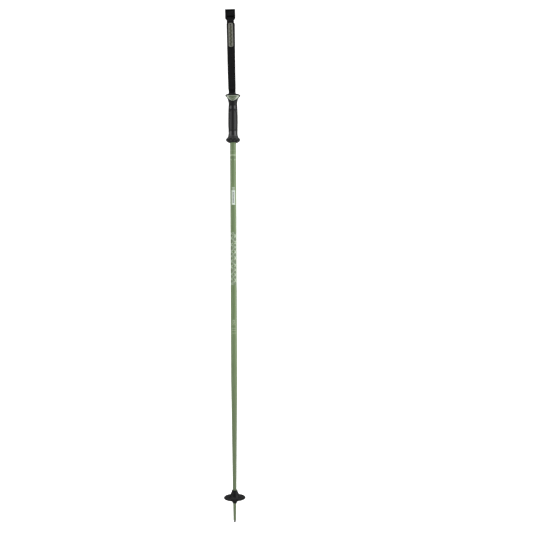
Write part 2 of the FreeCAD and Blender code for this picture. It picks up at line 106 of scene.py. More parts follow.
class Surface:
    """A Principled material with short names for the nodes that this scene uses."""

    def __init__(self, name, **sockets):
        self.material = bpy.data.materials.new(name)
        self.material.use_nodes = True
        self.tree = self.material.node_tree
        self.shader = self.tree.nodes["Principled BSDF"]
        coords = self.tree.nodes.new("ShaderNodeTexCoord")
        self.place = coords.outputs["Object"]
        self.set(**sockets)

    def set(self, **sockets):
        for name, value in sockets.items():
            self.feed(self.shader.inputs[name.replace("_", " ")], value)

    def feed(self, socket, value):
        if isinstance(value, bpy.types.NodeSocket):
            self.tree.links.new(value, socket)
        elif isinstance(value, (tuple, list)) and len(value) == 3 and socket.type == "RGBA":
            socket.default_value = (*value, 1.0)
        else:
            socket.default_value = value

    def node(self, kind, inputs, **settings):
        node = self.tree.nodes.new(kind)
        for key, value in settings.items():
            setattr(node, key, value)
        for key, value in inputs.items():
            self.feed(node.inputs[key], value)
        return node

    def math(self, operation, a, b=0.0, c=0.0):
        return self.node("ShaderNodeMath", {0: a, 1: b, 2: c}, operation=operation).outputs[0]

    def noise(self, scale, detail=3.0, stretch=(1.0, 1.0, 1.0), roughness=0.55):
        mapping = self.node("ShaderNodeMapping", {"Vector": self.place, "Scale": Vector(stretch)})
        inputs = {"Vector": mapping.outputs[0], "Scale": scale, "Detail": detail, "Roughness": roughness}
        return self.node("ShaderNodeTexNoise", inputs).outputs["Fac"]

    def step(self, value, low, high, to_low=0.0, to_high=1.0):
        inputs = {"Value": value, "From Min": low, "From Max": high, "To Min": to_low, "To Max": to_high}
        return self.node("ShaderNodeMapRange", inputs, interpolation_type="SMOOTHSTEP").outputs[0]

    def mix(self, share, a, b):
        node = self.tree.nodes.new("ShaderNodeMix")
        node.data_type = "RGBA"
        self.feed(node.inputs[0], share)
        self.feed(node.inputs[6], a)
        self.feed(node.inputs[7], b)
        return node.outputs[2]

    def bump(self, height, distance, strength=1.0):
        node = self.node("ShaderNodeBump", {"Height": height, "Distance": distance, "Strength": strength})
        self.feed(self.shader.inputs["Normal"], node.outputs[0])

    def split(self):
        """x, y and z of the surface point, in metres."""
        return self.node("ShaderNodeSeparateXYZ", {0: self.place}).outputs

    def inside(self, value, centre, half, soft):
        """1 where value is within half of centre, falling to 0 over soft."""
        away = self.math("ABSOLUTE", self.math("SUBTRACT", value, centre))
        return self.step(away, half - soft / 2, half + soft / 2, 1.0, 0.0)


def paint_green():
    """Satin olive paint on the tube, with plain generic prints wrapped round it."""
    s = Surface("shaft_paint", Metallic=0.0, Coat_Weight=0.35, Coat_Roughness=0.22, Specular_IOR_Level=0.5)
    x, y, z = s.split()
    angle = s.math("ARCTAN2", x, s.math("MULTIPLY", y, -1.0))
    cloud = s.noise(9.0, 4.0, (1.0, 1.0, 0.25))
    base = s.mix(s.step(cloud, 0.3, 0.7), (0.166, 0.248, 0.108), (0.186, 0.270, 0.124))
    low = s.step(z, 0.10, 0.66)
    base = s.mix(low, (0.145, 0.196, 0.100), base)
    light = (0.58, 0.69, 0.49)
    dark = (0.105, 0.150, 0.080)
    oval_light = (0.56, 0.66, 0.51)
    oval_dark = (0.085, 0.125, 0.075)

    # Two columns of uneven ovals, either side of a plain band
    side = s.math("SIGN", angle)
    turn = s.math("DIVIDE", s.math("SUBTRACT", s.math("ABSOLUTE", angle), 0.66), 0.62)
    drift = s.math("SINE", s.math("MULTIPLY_ADD", z, 92.0, s.math("MULTIPLY", side, 1.9)))
    wave = s.math("SINE", s.math("MULTIPLY_ADD", z, 211.0, s.math("MULTIPLY", side, 0.8)))
    warp = s.math("MULTIPLY_ADD", drift, 0.17, s.math("MULTIPLY", wave, 0.05))
    row = s.math("ADD", s.math("MULTIPLY_ADD", z, 1 / 0.0164, s.math("MULTIPLY", side, 0.21)), warp)
    height = s.math("DIVIDE", s.math("SUBTRACT", s.math("FRACT", row), 0.5), 0.47)
    reach = s.math("SQRT", s.math("ADD", s.math("POWER", s.math("ABSOLUTE", turn), 2.2),
                                  s.math("POWER", s.math("ABSOLUTE", height), 2.2)))
    ring = s.inside(reach, 0.84, 0.15, 0.10)
    fill = s.step(reach, 0.58, 0.72, 1.0, 0.0)
    zone = s.inside(z, 0.7668, 0.0762, 0.002)
    base = s.mix(s.math("MULTIPLY", s.math("MULTIPLY", fill, zone), 0.52), base, oval_dark)
    base = s.mix(s.math("MULTIPLY", s.math("MULTIPLY", ring, zone), 0.9), base, oval_light)
    spine = s.math("MULTIPLY", s.inside(angle, 0.0, 0.10, 0.10), s.inside(z, 0.765, 0.072, 0.01))
    base = s.mix(s.math("MULTIPLY", spine, 0.35), base, dark)

    # Rings under the grip, small slanted ticks, and fine lines lower down
    for centre, half, share in ((1.0672, 0.0021, 0.50), (1.0805, 0.0006, 0.25)):
        base = s.mix(s.math("MULTIPLY", s.inside(z, centre, half, 0.0012), share), base, light)
    base = s.mix(s.math("MULTIPLY", s.inside(z, 1.0600, 0.0022, 0.0015), 0.45), base, dark)
    slant = s.math("MULTIPLY_ADD", s.math("ABSOLUTE", angle), -0.006, z)
    tick = s.math("MULTIPLY", s.inside(slant, 1.0498, 0.0009, 0.0008),
                  s.inside(s.math("ABSOLUTE", angle), 0.72, 0.30, 0.06))
    base = s.mix(s.math("MULTIPLY", tick, 0.7), base, light)
    for centre in (0.5750, 0.5650, 0.5590, 0.5510):
        line = s.math("MULTIPLY", s.inside(z, centre, 0.00055, 0.0006), s.inside(angle, 0.0, 0.62, 0.08))
        base = s.mix(s.math("MULTIPLY", line, 0.65), base, light)
    badge = s.math("MULTIPLY", s.inside(z, 0.5840, 0.0052, 0.0010), s.inside(angle, 0.0, 0.34, 0.06))
    core = s.math("MULTIPLY", s.inside(z, 0.5840, 0.0032, 0.0010), s.inside(angle, 0.0, 0.16, 0.05))
    base = s.mix(s.math("MULTIPLY", s.math("SUBTRACT", badge, core), 0.55), base, light)

    # A white panel with a plain row of bars, and a small plain mark above it
    across = s.math("MULTIPLY", angle, TUBE_R * MM)
    centre_x = 0.0006
    panel = s.math("MULTIPLY", s.inside(z, 0.9440, 0.0212, 0.0008), s.inside(across, centre_x, 0.0050, 0.0008))
    base = s.mix(panel, base, (0.74, 0.83, 0.74))
    bar = s.inside(s.math("FRACT", s.math("MULTIPLY", z, 1 / 0.0040)), 0.5, 0.31, 0.10)
    bar = s.math("MULTIPLY", bar, s.inside(across, centre_x, 0.0020, 0.0008))
    bar = s.math("MULTIPLY", bar, s.inside(z, 0.9440, 0.0162, 0.0004))
    base = s.mix(s.math("MULTIPLY", bar, 0.92), base, (0.085, 0.125, 0.125))
    mark = s.math("MULTIPLY", s.inside(z, 0.9705, 0.0034, 0.0008), s.inside(across, centre_x, 0.0034, 0.0008))
    slit = s.inside(z, 0.9705, 0.0008, 0.0006)
    mark = s.math("MULTIPLY", mark, s.math("SUBTRACT", 1.0, slit))
    base = s.mix(s.math("MULTIPLY", mark, 0.85), base, (0.62, 0.72, 0.60))

    rub = s.step(s.noise(140.0, 5.0, (1.0, 1.0, 0.3)), 0.62, 0.74)
    foot = s.step(z, 0.05, 0.22, 0.35, 0.0)
    base = s.mix(s.math("MULTIPLY", rub, foot), base, (0.30, 0.33, 0.26))
    s.set(Base_Color=base, Roughness=s.step(s.noise(60.0, 4.0), 0.3, 0.7, 0.34, 0.46))
    s.bump(s.noise(900.0, 2.0), 0.00002, 0.35)
    return s.material


def moulded_black(name, tone, rough, grain=0.00006, gloss=0.5):
    """Black moulding with a fine spark-eroded grain and faint handling marks."""
    s = Surface(name, Specular_IOR_Level=gloss)
    cloud = s.noise(70.0, 4.0)
    pale = tuple(c * 1.45 for c in tone)
    s.set(Base_Color=s.mix(s.step(cloud, 0.35, 0.7), tone, pale))
    s.set(Roughness=s.step(s.noise(260.0, 5.0), 0.3, 0.7, rough - 0.06, rough + 0.08))
    s.bump(s.noise(2600.0, 3.0), grain, 0.6)
    return s.material


def grip_rubber():
    """Soft black rubber: grained panels, and smooth patches that are glossier and carry a paler colour that is
    painted highlight.
    """
    s = Surface("grip_rubber", Specular_IOR_Level=0.30)
    smooth = s.node("ShaderNodeAttribute", {}, attribute_name="smooth").outputs["Fac"]
    cloud = s.step(s.noise(120.0, 4.0), 0.3, 0.7)
    grained = s.mix(cloud, (0.0075, 0.0075, 0.0083), (0.0125, 0.0125, 0.0137))
    # The pale grey laid on the smooth patches is painted highlight; their lower roughness below is real gloss.
    s.set(Base_Color=s.mix(smooth, grained, (0.105, 0.105, 0.109)))
    s.set(Roughness=s.math("SUBTRACT", s.step(s.noise(300.0, 4.0), 0.3, 0.7, 0.52, 0.66),
                           s.math("MULTIPLY", smooth, 0.16)))
    s.bump(s.noise(2400.0, 3.0), 0.00010, 0.75)
    return s.material


def fabric(name, tone, pale, scale=(900.0, 900.0, 1500.0)):
    """Nylon: fibre-scale colour and a soft sheen over woven geometry."""
    s = Surface(name, Specular_IOR_Level=0.10, Sheen_Weight=0.03, Sheen_Roughness=0.45)
    fibre = s.noise(1.0, 4.0, scale)
    cloud = s.noise(55.0, 3.0)
    share = s.math("ADD", s.math("MULTIPLY", s.step(fibre, 0.3, 0.7), 0.7), s.math("MULTIPLY", cloud, 0.3))
    s.set(Base_Color=s.mix(share, tone, pale))
    s.set(Roughness=s.step(fibre, 0.3, 0.7, 0.70, 0.88))
    s.bump(fibre, 0.00008, 0.8)
    return s.material


def green_insert():
    """Olive lacquer on the cap's shield plates, with painted highlight as a paler colour on the raised border and
    chevron.
    """
    s = Surface("insert_paint", Coat_Weight=0.3, Coat_Roughness=0.16)
    raised = s.node("ShaderNodeAttribute", {}, attribute_name="raised").outputs["Fac"]
    fleck = s.step(s.noise(420.0, 4.0), 0.35, 0.7)
    field = s.mix(fleck, (0.088, 0.122, 0.062), (0.135, 0.172, 0.100))
    # painted highlight: the raised border and chevron are paler
    s.set(Base_Color=s.mix(raised, field, (0.420, 0.470, 0.380)))
    s.set(Roughness=s.step(s.noise(200.0, 3.0), 0.3, 0.7, 0.30, 0.42))
    s.bump(s.noise(1500.0, 2.0), 0.00003, 0.4)
    return s.material


def label_rubber():
    """Moulded patch: grey-olive rim, olive channel, darker notches between the ribs."""
    s = Surface("label_rubber", Specular_IOR_Level=0.4)
    raised = s.node("ShaderNodeAttribute", {}, attribute_name="raised").outputs["Fac"]
    fleck = s.step(s.noise(380.0, 4.0), 0.3, 0.7)
    channel = s.mix(fleck, (0.060, 0.066, 0.036), (0.098, 0.104, 0.064))
    rim = s.mix(fleck, (0.185, 0.187, 0.158), (0.252, 0.252, 0.222))
    s.set(Base_Color=s.mix(s.step(raised, 0.25, 0.75), channel, rim))
    s.set(Roughness=s.step(s.noise(260.0, 4.0), 0.3, 0.7, 0.55, 0.70))
    s.bump(s.noise(1900.0, 3.0), 0.00006, 0.6)
    return s.material


def metal(name, tone, rough):
    """Turned steel: fine rings round the axis, with duller worn patches."""
    s = Surface(name, Metallic=1.0)
    rings = s.noise(40.0, 3.0, (1.0, 1.0, 60.0))
    worn = s.step(s.noise(240.0, 5.0), 0.45, 0.7)
    s.set(Base_Color=s.mix(worn, tone, tuple(c * 0.55 for c in tone)))
    s.set(Roughness=s.math("ADD", s.step(rings, 0.3, 0.7, rough, rough + 0.12), s.math("MULTIPLY", worn, 0.15)))
    s.bump(rings, 0.00002, 0.5)
    return s.material


# --- Mesh helpers ---------------------------------------------------------------------------------------------


def make_object(name, vertices, faces, material, body, stands_for=(), attributes=None, smooth=True):
    """A mesh piece from millimetre vertices; it rides on a body and stands for CAD nodes."""
    mesh = bpy.data.meshes.new(name)
    mesh.from_pydata([(x * MM, y * MM, z * MM) for x, y, z in vertices], [], faces)
    mesh.validate()
    for key, values in (attributes or {}).items():
        layer = mesh.attributes.new(key, "FLOAT", "POINT")
        layer.data.foreach_set("value", values)
    if smooth:
        mesh.shade_smooth()
    piece = bpy.data.objects.new(name, mesh)
    bpy.context.scene.collection.objects.link(piece)
    finish_piece(piece, material, body, stands_for)
    return piece


def finish_piece(piece, material, body, stands_for=()):
    piece.data.materials.clear()
    piece.data.materials.append(material)
    if body:
        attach(piece, body)
    if stands_for:
        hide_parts(*stands_for)


def grid_faces(rows, columns, close_rows=False, close_columns=False):
    """Quads of a grid whose vertices run along a row first."""
    faces = []
    for i in range(rows if close_rows else rows - 1):
        for j in range(columns if close_columns else columns - 1):
            a = i * columns + j
            b = i * columns + (j + 1) % columns
            c = ((i + 1) % rows) * columns + (j + 1) % columns
            d = ((i + 1) % rows) * columns + j
            faces.append((a, b, c, d))
    return faces


def ease(value, low, high):
    """0 below low, 1 above high, and smooth between."""
    share = min(1.0, max(0.0, (value - low) / (high - low)))
    return share * share * (3 - 2 * share)


def plateau(value, low, high, soft):
    """1 between low and high, falling to 0 over soft outside them."""
    return ease(value, low - soft, low) * (1 - ease(value, high, high + soft))


# --- Grip -----------------------------------------------------------------------------------------------------


def grip_radius(z):
    """Half-width of the grip at a height, by a smooth curve through its profile."""
    if z >= FLARE_Z:
        rise = min(z - FLARE_Z, FLARE_BEND_R)
        return FLARE_FOOT_R + FLARE_BEND_R - math.sqrt(FLARE_BEND_R ** 2 - rise ** 2)
    heights = [p[1] for p in GRIP_PROFILE]
    i = max(0, min(len(heights) - 2, sum(h <= z for h in heights) - 1))
    before = GRIP_PROFILE[max(0, i - 1)]
    start, end = GRIP_PROFILE[i], GRIP_PROFILE[i + 1]
    after = GRIP_PROFILE[min(len(heights) - 1, i + 2)]
    span = end[1] - start[1]
    t = (z - start[1]) / span
    slope_start = (end[0] - before[0]) / (end[1] - before[1]) * span
    slope_end = (after[0] - start[0]) / (after[1] - start[1]) * span
    a = 2 * t ** 3 - 3 * t ** 2 + 1
    b = t ** 3 - 2 * t ** 2 + t
    c = -2 * t ** 3 + 3 * t ** 2
    d = t ** 3 - t ** 2
    return a * start[0] + b * slope_start + c * end[0] + d * slope_end


def grip_relief(across, z, front):
    """(height, smoothness) of the grip's surface relief. across is millimetres round from the centre line. The
    smoothness makes those patches glossier and also gives them a paler colour that is painted highlight.
    """
    away = abs(across)
    height = 0.0
    smooth = 0.0

    # Long panel: its top is an arch that peaks on the centre line, its foot a groove
    arch = 1196.5 - 0.085 * away ** 2 * (1.0 if front else 0.7)
    panel = plateau(z, 1140.5, arch, 1.4)
    height -= 0.30 * panel
    ribs = 0.5 + 0.5 * math.cos(2 * math.pi * (z + 0.28 * away) / 2.6)
    band = plateau(away, 3.6, 9.5, 1.0)
    height += 0.22 * ribs ** 1.5 * band * plateau(z, 1143.0, arch - 4.0, 3.0)
    height -= 0.35 * plateau(away, 0.0, 2.6, 0.9) * plateau(z, 1142.0, arch - 2.5, 2.0)
    # painted highlight: paler bands either side of the panel's centre channel
    smooth += 0.55 * band * panel
    groove = math.exp(-((z - 1139.0 - 0.02 * away ** 2) / 0.8) ** 2)
    height -= 0.75 * groove
    rim = math.exp(-((z - arch - 0.6) / 0.7) ** 2) * plateau(away, 0.0, 15.0, 2.0)
    height -= 0.35 * rim

    # Upper lobes either side of a narrow valley
    lobe = plateau(z, 1201.5, 1207.5, 3.2) * plateau(away, 4.4, 8.2, 1.7)
    height += 0.45 * lobe
    # painted highlight on the lobes
    smooth += 1.50 * lobe
    height -= 0.55 * math.exp(-(away / 1.8) ** 2) * plateau(z, 1199.0, 1219.0, 4.0)

    # Cheeks above the hand stop, with a drop-shaped recess between them
    cheek = plateau(z, 1122.5, 1135.0, 2.6) * plateau(away, 4.6, 9.8, 1.5)
    height += 0.38 * cheek
    # painted highlight on the cheeks and along the band over the hand stop
    smooth += 1.45 * cheek
    smooth += 0.9 * math.exp(-((z - 1122.4) / 0.8) ** 2) * plateau(away, 0.0, 11.5, 2.0)
    drop = math.exp(-((away / 2.3) ** 2 + ((z - 1129.5) / 5.2) ** 2) ** 1.5)
    height -= 1.25 * drop

    # Hand stop: scalloped steps
    stop = plateau(z, 1106.0, 1119.0, 2.0)
    scallop = math.cos(2 * math.pi * across / 8.6) * math.cos(2 * math.pi * (z - 1112.0) / 9.5)
    height += 0.34 * scallop * stop
    height -= 0.45 * math.exp(-((z - 1120.2) / 0.7) ** 2)
    # painted highlight on the tops of the scallops
    smooth += 0.55 * max(0.0, scallop) * stop
    return height, min(1.5, smooth) / 1.5


def shield_half_width(z):
    """Half-width of the cap insert's outline at a height."""
    outline = ((1224.0, 3.2), (1224.8, 4.6), (1227.0, 8.2), (1230.4, 12.4), (1234.6, 16.2), (1238.3, 18.5),
               (1239.0, 18.9))
    if z <= outline[0][0]:
        return 0.0
    for (low, narrow), (high, wide) in zip(outline, outline[1:]):
        if z <= high:
            return narrow + (wide - narrow) * (z - low) / (high - low)
    return outline[-1][1]


def build_grip_sleeve():
    rows = []
    z = GRIP_FOOT_Z
    while z < SLEEVE_TOP_Z:
        rows.append(z)
        z += 0.28 if z < 1120.0 else 0.42
    rows.append(SLEEVE_TOP_Z)
    columns = 288
    vertices, smooth = [], []
    for z in rows:
        radius = grip_radius(z)
        for j in range(columns):
            angle = 2 * math.pi * j / columns
            across = math.remainder(angle, math.pi) * 14.0
            front = math.cos(angle) > 0
            height, smooth_and_highlight = grip_relief(across, z, front)
            side_fade = plateau(abs(math.cos(angle)), 0.12, 2.0, 0.16)
            height *= side_fade
            x = (radius + height) * math.sin(angle)
            y = -(radius + height) * GRIP_DEPTH * math.cos(angle)
            if abs(x) < shield_half_width(z + 0.25) + 0.35 and z > 1223.6:
                x *= 1 - 0.42 / radius
                y *= 1 - 0.42 / radius
            vertices.append((x, y, z))
            # smoothness per vertex, which the rubber also turns into a paler colour that is painted highlight
            smooth.append(smooth_and_highlight * side_fade)
    for radius, z in ((15.9, SLEEVE_TOP_Z), (11.1, 1222.0), (11.1, 1107.0), (9.06, 1106.0), (9.06, GRIP_FOOT_Z)):
        for j in range(columns):
            angle = 2 * math.pi * j / columns
            vertices.append((radius * math.sin(angle), -radius * math.cos(angle), z))
            smooth.append(0.0)
    count = len(rows) + 5
    faces = grid_faces(count, columns, close_rows=True, close_columns=True)
    # the smooth attribute carries the painted highlight on the grip's smooth patches
    return make_object("grip_moulding", vertices, faces, RUBBER, "pole", ("grip_sleeve",),
                       {"smooth": smooth})


def build_cap_insert(side):
    """Shield plate on the flare, with a raised border and a plain chevron in its field."""
    rows, columns = 46, 121
    low, high = 1224.0, 1238.9
    vertices, raised = [], []
    for layer in (1, 0):
        for i in range(rows):
            z = low + (high - low) * i / (rows - 1)
            half = max(shield_half_width(z), 3.2)
            for j in range(columns):
                share = 2 * j / (columns - 1) - 1
                x = share * half
                top = 1237.0 + 2.0 * (abs(x) / 18.9) ** 1.6
                height = low + (top - low) * i / (rows - 1)
                half_here = max(shield_half_width(height), 3.2)
                x = share * half_here
                edge = min((1 - abs(share)) * half_here * 0.72, top - height, (height - low) * 1.6 + 0.05)
                # the painted highlight border widens towards the sides, where the plate curves away
                wide = 1.0 + 3.0 * ease(abs(share), 0.50, 0.95)
                border = 1 - ease(edge, 0.8 * wide, 1.4 * wide)
                chevron = abs((height - 1228.4) - abs(x) * 0.42)
                sign = (1 - ease(chevron, 0.55, 1.0)) * plateau(abs(x), 0.0, 8.0, 1.0)
                lift = 0.28 * border + 0.16 * sign
                rounded = 0.30 * ease(edge, 0.0, 0.35)
                radius = grip_radius(height) + (rounded - 0.02 + lift if layer else -1.2)
                depth = math.sqrt(max(0.0, radius ** 2 - x ** 2)) * GRIP_DEPTH
                vertices.append((x, side * depth, height))
                # share of painted highlight on the border and chevron
                raised.append(max(border, 0.55 * sign))
    size = rows * columns
    faces = grid_faces(rows, columns)
    back = [tuple(reversed([v + size for v in face])) for face in grid_faces(rows, columns)]
    rim = list(range(columns))
    rim += [i * columns + columns - 1 for i in range(1, rows)]
    rim += [size - 1 - j for j in range(1, columns)]
    rim += [i * columns for i in range(rows - 2, 0, -1)]
    walls = [(a, a + size, b + size, b) for a, b in zip(rim, rim[1:] + rim[:1])]
    faces = faces + back + walls
    if side < 0:
        faces = [tuple(reversed(face)) for face in faces]
    node = "cap_insert_front" if side < 0 else "cap_insert_rear"
    return make_object(node + "_plate", vertices, faces, INSERT, "pole", (node,), {"raised": raised})


# --- Strap ----------------------------------------------------------------------------------------------------


def lean(x, y, z):
    """A point of the upright strap, moved to where the strap leaves the grip and leans."""
    rise = z - CAP_TOP_Z
    return (
        STRAP_X + x * math.cos(STRAP_LEAN) + rise * math.sin(STRAP_LEAN),
        y,
        CAP_TOP_Z - x * math.sin(STRAP_LEAN) + rise * math.cos(STRAP_LEAN),
    )


def trace(start, moves, pitch=0.5):
    """Points along a path of runs and turns in the Y-Z plane, as (y, z, heading) every pitch or so."""
    y, z = start
    heading = 0.0
    points = [(y, z, heading)]
    for move in moves:
        if move[0] == "run":
            length, turn = move[1], 0.0
        else:
            length, turn = move[1] * math.radians(abs(move[2])), math.radians(move[2])
        count = max(1, round(length / pitch))
        for _ in range(count):
            middle = heading + turn / count / 2
            y += math.sin(middle) * length / count
            z += math.cos(middle) * length / count
            heading += turn / count
            points.append((y, z, heading))
    return points


def ply_path(low, high, pitch=0.5):
    """The front ply's middle line between two heights."""
    bends = trace((-PLY_Y, PLY_START_Z), PLY_MOVES, pitch)
    last_y, last_z, _ = bends[-1]
    top = trace((last_y, last_z), [("run", 1520.0 - last_z)], pitch)[1:]
    below = trace((-PLY_Y, PLY_START_Z - 20.0), [("run", 20.0)], pitch)[:-1]
    return [p for p in below + bends + top if low - pitch <= p[1] <= high]


def ply_at(z):
    """(y, heading) of the front ply's middle line at a height."""
    path = PLY_LINE
    i = min(range(len(path)), key=lambda k: abs(path[k][1] - z))
    return path[i][0], path[i][2]


def weave(x, s):
    """Surface height of herringbone webbing: x across, s along, in millimetres."""
    column = x / 2.9
    zig = abs(math.remainder(column, 2.0)) * 1.9
    rib = math.cos(2 * math.pi * (s + zig) / 1.5)
    gap = math.cos(2 * math.pi * column)
    return 0.075 * rib - 0.045 * max(0.0, gap) ** 6


def strip(name, path, width, offsets, material, body, stands_for=(), relief=weave, centre_x=0.0,
          columns=57, width_of=None, leaned=True, mirror=1):
    """A woven strip along a path, with rounded selvedges and a relief on both faces."""
    rows = len(path)
    vertices = []
    travelled = 0.0
    thick = (offsets[1] - offsets[0]) / 2
    middle = (offsets[1] + offsets[0]) / 2
    ring = 2 * columns
    for i, (y, z, heading) in enumerate(path):
        if i:
            travelled += math.hypot(y - path[i - 1][0], z - path[i - 1][1])
        left, right = width_of(z) if width_of else (centre_x - width / 2, centre_x + width / 2)
        for k in range(ring):
            face = 1 if k < columns else -1
            j = k if face > 0 else ring - 1 - k
            share = j / (columns - 1)
            x = left + (right - left) * share
            edge = min(x - left, right - x)
            rounding = math.sqrt(max(0.0, 1 - (1 - min(edge / 0.8, 1.0)) ** 2))
            lift = thick * (0.25 + 0.75 * rounding) + relief(x, travelled) * rounding
            offset = middle + face * lift
            point = (x, mirror * (y - offset * math.cos(heading)), z + offset * math.sin(heading))
            vertices.append(lean(*point) if leaned else (point[0] + STRAP_X, point[1], point[2]))
    faces = grid_faces(rows, ring, close_columns=True)
    faces.append(tuple(range(ring - 1, -1, -1)))
    faces.append(tuple(range((rows - 1) * ring, rows * ring)))
    if mirror > 0:
        faces = [tuple(reversed(face)) for face in faces]
    return make_object(name, vertices, faces, material, body, stands_for)


def build_plies():
    """The two plies of the loop, curving along their path between the strap's root and the adjuster."""
    start, end = 1258.0, PLY_END_Z - 0.2
    for name, node, mirror in (("ply_front", "webbing_front", 1), ("ply_rear", "webbing_rear", -1)):
        path = ply_path(start, end)
        piece = strip(name, path, WEB_WIDTH, (-WEB_HALF, WEB_HALF), WEBBING, None, (node,), mirror=mirror)
        bend_with_adjuster(piece)


def bend_with_adjuster(piece):
    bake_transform(piece)


def build_root():
    """Webbing round the cross dowel, with both legs running up through the mouth to the plies."""
    bend = PIN_R + BAR_GAP + WEB_HALF
    swing = 2 * LEG_BEND_R * (1 - math.cos(math.radians(LEG_DEG)))
    slant = (bend - PLY_Y - swing) / math.sin(math.radians(LEG_DEG))
    leg = [("run", LEG_RUN), ("turn", LEG_BEND_R, LEG_DEG), ("run", slant), ("turn", LEG_BEND_R, -LEG_DEG)]
    up = trace((-bend, PIN_Z), leg, 0.4)
    last_y, last_z, _ = up[-1]
    up += trace((last_y, last_z), [("run", 1257.8 - last_z)], 0.4)[1:]
    half_ring = [(-bend * math.cos(a), PIN_Z - bend * math.sin(a), -a)
                 for a in [math.pi / 2 * k / 10 for k in range(10, 0, -1)]]
    front = half_ring + up
    rear = [(-y, z, -heading) for y, z, heading in reversed(front[1:])]
    path = [(y, z, heading + math.pi) for y, z, heading in rear]
    path = path + [(y, z, heading + 2 * math.pi) for y, z, heading in front]
    piece = strip("strap_root_webbing", path, WEB_WIDTH, (-WEB_HALF, WEB_HALF), WEBBING, None,
                  ("strap_root",), leaned=False)
    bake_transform(piece)


def pad_width(z):
    """Left and right edge of the wrist pad at a height, with its upper corners cut off."""
    share = (z - PAD_START_Z) / (PAD_TOP_Z - PAD_START_Z)
    right = 10.95 + 2.2 * share
    cut = max(0.0, z - (PAD_TOP_Z - 2.4))
    foot = max(0.0, 1260.6 - z) * 0.25
    return -10.95 + cut + foot, right - cut - foot


def pad_relief(x, s):
    """Soft, slightly quilted lining inside a bound edge."""
    left, right = pad_width(PAD_START_Z + s)
    edge = min(x - left, right - x)
    binding = 0.30 * plateau(edge, 0.4, 2.0, 0.5)
    seam = -0.22 * math.exp(-((edge - 2.7) / 0.28) ** 2)
    crown = 0.22 * ease(edge, 2.8, 6.5)
    cross = 0.035 * math.cos(2 * math.pi * x / 1.1) * math.cos(2 * math.pi * s / 1.1)
    return binding + seam + crown + cross * ease(edge, 2.7, 3.2)


def build_pad():
    path = ply_path(1258.2, PAD_TOP_Z - 0.1)
    piece = strip("pad_lining", path, 0, (WEB_HALF + 0.05, WEB_HALF + 1.0), PAD, None,
                  ("wrist_pad",), relief=pad_relief, columns=81, width_of=pad_width)
    bend_with_adjuster(piece)


def stitches(name, runs, material, body, radius=0.24, stands_for=()):
    """Thread stitches as short capsules. runs lists (start, end) points of single stitches, already placed."""
    vertices, faces = [], []
    around, along = 8, 5
    for start, end in runs:
        start, end = Vector(start), Vector(end)
        way = end - start
        side = way.cross(Vector((0, 1, 0))).normalized()
        out = way.cross(side).normalized()
        base = len(vertices)
        for i in range(along):
            share = i / (along - 1)
            swell = radius * (0.35 + 0.65 * math.sin(math.pi * (0.12 + 0.76 * share)))
            centre = start + way * share
            for k in range(around):
                angle = 2 * math.pi * k / around
                vertices.append(tuple(centre + swell * (math.cos(angle) * side + math.sin(angle) * out)))
        for i in range(along - 1):
            for k in range(around):
                a, b = base + i * around + k, base + i * around + (k + 1) % around
                faces.append((a, b, b + around, a + around))
        faces.append(tuple(base + k for k in range(around - 1, -1, -1)))
        faces.append(tuple(base + (along - 1) * around + k for k in range(around)))
    return make_object(name, vertices, faces, material, body, stands_for)


def on_front(x, z, offset):
    """A placed point at an offset in front of the front ply's middle."""
    y, heading = ply_at(z)
    return lean(x, y - offset * math.cos(heading), z + offset * math.sin(heading))


def build_pad_stitches():
    """Lockstitch rows inside the pad's binding."""
    runs = []
    z = 1261.5
    while z < 1445.0:
        for side in (0, 1):
            edges = (pad_width(z)[side], pad_width(z + 2.2)[side])
            inward = 2.7 if side == 0 else -2.7
            offset = WEB_HALF + 1.05
            runs.append((on_front(edges[0] + inward, z, offset), on_front(edges[1] + inward, z + 2.2, offset)))
        z += 3.3
    piece = stitches("pad_stitching", runs, THREAD, None)
    bend_with_adjuster(piece)


def build_cross_band():
    """A line of bar-tack stitches across the pad below the label."""
    runs = []
    for row_z in (1352.0, 1356.4):
        for k in range(9):
            x = -6.4 + 1.6 * k + 0.8
            offset = WEB_HALF + 1.3
            runs.append((on_front(x - 0.5, row_z - 0.9, offset), on_front(x + 0.5, row_z + 0.9, offset)))
    piece = stitches("pad_cross_stitching", runs, THREAD, None, radius=0.2)
    bend_with_adjuster(piece)


def tack(name, body, centre_x, centre_z, width, height, offset, node, lines=1, pitch=0.0):
    """A bar-tack: dense zigzag thread over a short band."""
    runs = []
    count = round(width / 0.55)
    for line in range(lines):
        low = centre_z + (line - (lines - 1) / 2) * pitch - height / 2
        for k in range(count):
            x = centre_x - width / 2 + width * k / count
            step = width / count
            ends = ((x, low), (x + step, low + height)) if k % 2 else ((x, low + height), (x + step, low))
            runs.append(tuple(on_front(px, pz, offset) for px, pz in ends))
    return stitches(name, runs, THREAD, body, radius=0.26, stands_for=(node,))


# --- Label and rivet ------------------------------------------------------------------------------------------


LABEL_LOW, LABEL_HIGH = 1380.4, 1450.5
LABEL_HALF = 6.8
LABEL_CORNER = 4.2
LABEL_X = 0.5
LABEL_BACK = 2.3
RIVET_Z = 1444.6


